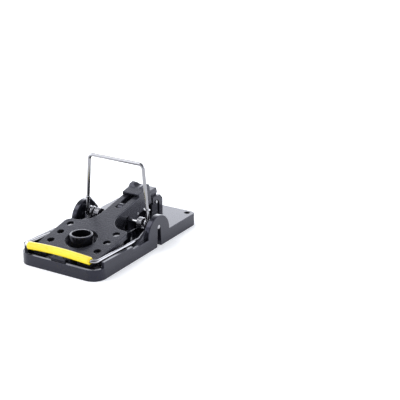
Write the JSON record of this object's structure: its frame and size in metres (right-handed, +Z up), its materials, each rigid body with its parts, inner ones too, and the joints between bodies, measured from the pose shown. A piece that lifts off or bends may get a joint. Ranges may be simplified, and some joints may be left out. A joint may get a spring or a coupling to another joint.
{
  "type": "snap mouse trap",
  "caption": "Snap mouse trap with a plastic tray base, perforated treadle, bait cup, sprung wire kill bar with a sleeve, and a wire setting lever.",
  "frame": {"origin": "middle of the flat underside that the trap rests on", "axes": "+Z up, +Y towards the rear deck and the setting lever's side, -Y towards the sleeved kill bar, +X to the trap's right"},
  "size_m": [0.054, 0.1, 0.0491],
  "materials": {
    "base_plastic": "glossy moulded, charcoal black",
    "treadle_plastic": "satin-gloss moulded, charcoal black",
    "trigger_plastic": "satin-gloss moulded, charcoal black",
    "cup_plastic": "glossy moulded, black",
    "axle_steel": "bright drawn steel",
    "pin_steel": "bright drawn steel",
    "hammer_wire": "bright plated wire",
    "spring_wire": "bright plated spring wire",
    "sleeve_plastic": "soft yellow tube, satin"
  },
  "bodies": {
    "base": {"base": "base_plastic", "axle": "axle_steel", "treadle_pin": "pin_steel", "trigger_pin": "pin_steel", "spring_left": "spring_wire", "spring_right": "spring_wire"},
    "hammer": {"kill_bar": "hammer_wire", "kill_bar_sleeve": "sleeve_plastic", "setting_lever": "hammer_wire"},
    "treadle": {"treadle": "treadle_plastic"},
    "trigger": {"trigger": "trigger_plastic"},
    "bait_cup": {"bait_cup": "cup_plastic"}
  },
  "joints": [
    {"name": "hammer_swing", "type": "hinge", "parent": "base", "child": "hammer", "pos_m": [0, 0.0094, 0.0119], "axis": [-1, 0, 0], "range_deg": [0, 79.5], "stiffness_Nm_per_rad": 0.12, "springref_deg": -74.48, "deforming": ["spring_left", "spring_right"]},
    {"name": "treadle_tilt", "type": "hinge", "parent": "base", "child": "treadle", "pos_m": [0, 0.0197, 0.0122], "axis": [-1, 0, 0], "range_deg": [0, 5.6]},
    {"name": "trigger_turn", "type": "hinge", "parent": "base", "child": "trigger", "pos_m": [0, 0.0389, 0.0133], "axis": [-1, 0, 0], "range_deg": [0, 13.5]},
    {"name": "bait_cup_slide", "type": "slide", "parent": "base", "child": "bait_cup", "axis": [0, 0, -1], "range_m": [0, 0.018]}
  ],
  "couplings": [
    {"joint": "treadle_tilt", "follows": "hammer_swing", "ratio": 0.069182},
    {"joint": "trigger_turn", "follows": "hammer_swing", "ratio": 0.16855}
  ]
}
